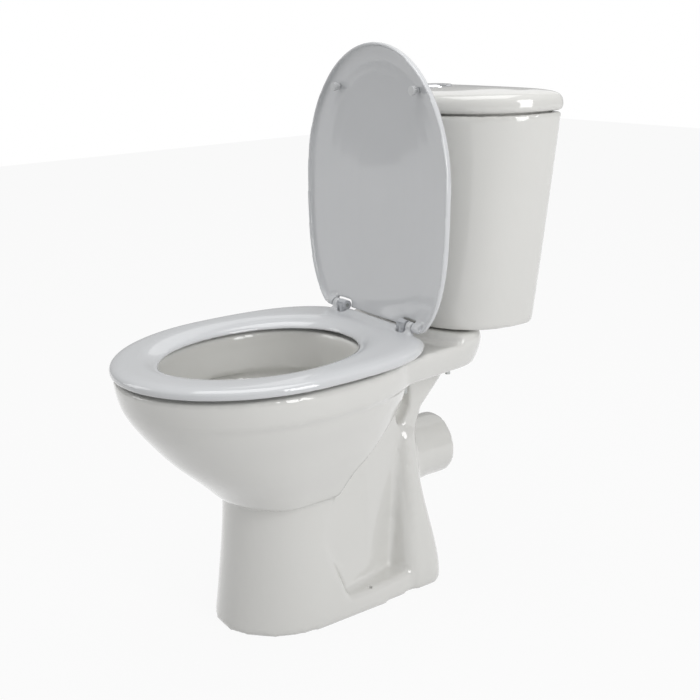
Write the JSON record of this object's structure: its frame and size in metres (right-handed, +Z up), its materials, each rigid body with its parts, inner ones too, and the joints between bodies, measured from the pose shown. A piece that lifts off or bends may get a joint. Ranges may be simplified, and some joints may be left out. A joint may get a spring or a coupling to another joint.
{
  "type": "close coupled toilet",
  "caption": "Floor-standing close-coupled toilet with horizontal outlet, tapered cistern, push button flush, and a hinged seat with its cover raised.",
  "frame": {"origin": "on the floor below the middle of the whole object", "axes": "+Z up, -Y the front, +Y the wall, X left and right with the symmetry plane at 0"},
  "size_m": [0.3949, 0.6321, 0.8389],
  "materials": {
    "china": "glazed vitreous china",
    "seat_plastic": "gloss moulded plastic",
    "hinge_plastic": "satin moulded plastic",
    "buffer_plastic": "soft white buffer",
    "chrome": "bright chrome plate",
    "valve_plastic": "moulded plastic",
    "lever_plastic": "moulded plastic",
    "nut_plastic": "moulded plastic",
    "rubber": "moulded rubber",
    "seal_rubber": "moulded silicone rubber",
    "zinc_steel": "zinc plated steel",
    "spring_steel": "bright spring wire",
    "tube_plastic": "flexible clear grey tube"
  },
  "bodies": {
    "ware": {"pan": "china", "cistern": "china", "flush_valve_body": "valve_plastic", "flush_valve_washer": "rubber", "flush_valve_nut": "nut_plastic", "coupling_ring": "rubber", "fill_valve_body": "valve_plastic", "fill_valve_washer": "rubber", "fill_valve_nut": "nut_plastic", "refill_tube": "tube_plastic", "coupling_bolts": "zinc_steel", "coupling_bolt_seals": "rubber", "coupling_bolt_washers": "zinc_steel", "coupling_wing_nuts": "zinc_steel", "hinge_pillars": "hinge_plastic", "hinge_pins": "zinc_steel", "hinge_studs": "zinc_steel", "hinge_washers": "rubber", "hinge_wing_nuts": "hinge_plastic"},
    "seat": {"seat_ring": "seat_plastic", "seat_buffers": "buffer_plastic"},
    "cover": {"seat_cover": "seat_plastic", "cover_buffers": "buffer_plastic"},
    "lid": {"cistern_lid": "china", "button_bezel": "chrome", "button_bezel_nut": "nut_plastic", "full_flush_spring": "spring_steel", "half_flush_spring": "spring_steel"},
    "full_button": {"full_flush_button": "chrome", "full_flush_push_rod": "valve_plastic"},
    "half_button": {"half_flush_button": "chrome", "half_flush_push_rod": "valve_plastic"},
    "full_lever": {"full_flush_lever": "lever_plastic"},
    "half_lever": {"half_flush_lever": "lever_plastic"},
    "flush_lift": {"overflow_tube": "valve_plastic", "flush_seal": "seal_rubber"},
    "float": {"fill_valve_float": "nut_plastic"},
    "float_arm": {"float_arm": "lever_plastic"}
  },
  "joints": [
    {"name": "seat_hinge", "type": "hinge", "parent": "ware", "child": "seat", "pos_m": [0, 0.108, 0.436], "axis": [-1, 0, 0], "range_deg": [0, 91]},
    {"name": "cover_hinge", "type": "hinge", "parent": "ware", "child": "cover", "pos_m": [0, 0.108, 0.436], "axis": [-1, 0, 0], "range_deg": [-92, 0]},
    {"name": "lid_lift", "type": "slide", "parent": "ware", "child": "lid", "axis": [0, 0, 1], "range_m": [0, 0.14]},
    {"name": "full_flush_press", "type": "slide", "parent": "lid", "child": "full_button", "axis": [0, 0, -1], "range_m": [0, 0.005], "stiffness_N_per_m": 600, "springref_m": -0.003, "deforming": ["full_flush_spring"]},
    {"name": "half_flush_press", "type": "slide", "parent": "lid", "child": "half_button", "axis": [0, 0, -1], "range_m": [0, 0.005], "stiffness_N_per_m": 600, "springref_m": -0.003, "deforming": ["half_flush_spring"]},
    {"name": "full_lever_rock", "type": "hinge", "parent": "ware", "child": "full_lever", "pos_m": [0, 0.212, 0.655], "axis": [-1, 0, 0], "range_deg": [0, 17]},
    {"name": "half_lever_rock", "type": "hinge", "parent": "ware", "child": "half_lever", "pos_m": [0, 0.212, 0.655], "axis": [-1, 0, 0], "range_deg": [0, 17]},
    {"name": "overflow_tube_lift", "type": "slide", "parent": "ware", "child": "flush_lift", "axis": [0, 0, 1], "range_m": [0, 0.0075]},
    {"name": "float_rise", "type": "slide", "parent": "ware", "child": "float", "axis": [0, 0, 1], "range_m": [0, 0.014]},
    {"name": "float_arm_turn", "type": "hinge", "parent": "ware", "child": "float_arm", "pos_m": [-0.092, 0.262, 0.664], "axis": [0, -1, 0], "range_deg": [0, 21]}
  ],
  "couplings": [
    {"joint": "full_lever_rock", "follows": "full_flush_press", "rad_per_m": 55.556},
    {"joint": "half_lever_rock", "follows": "half_flush_press", "rad_per_m": 55.556},
    {"joint": "overflow_tube_lift", "follows": "full_flush_press", "ratio": 1.4},
    {"joint": "float_arm_turn", "follows": "float_rise", "rad_per_m": 25}
  ]
}
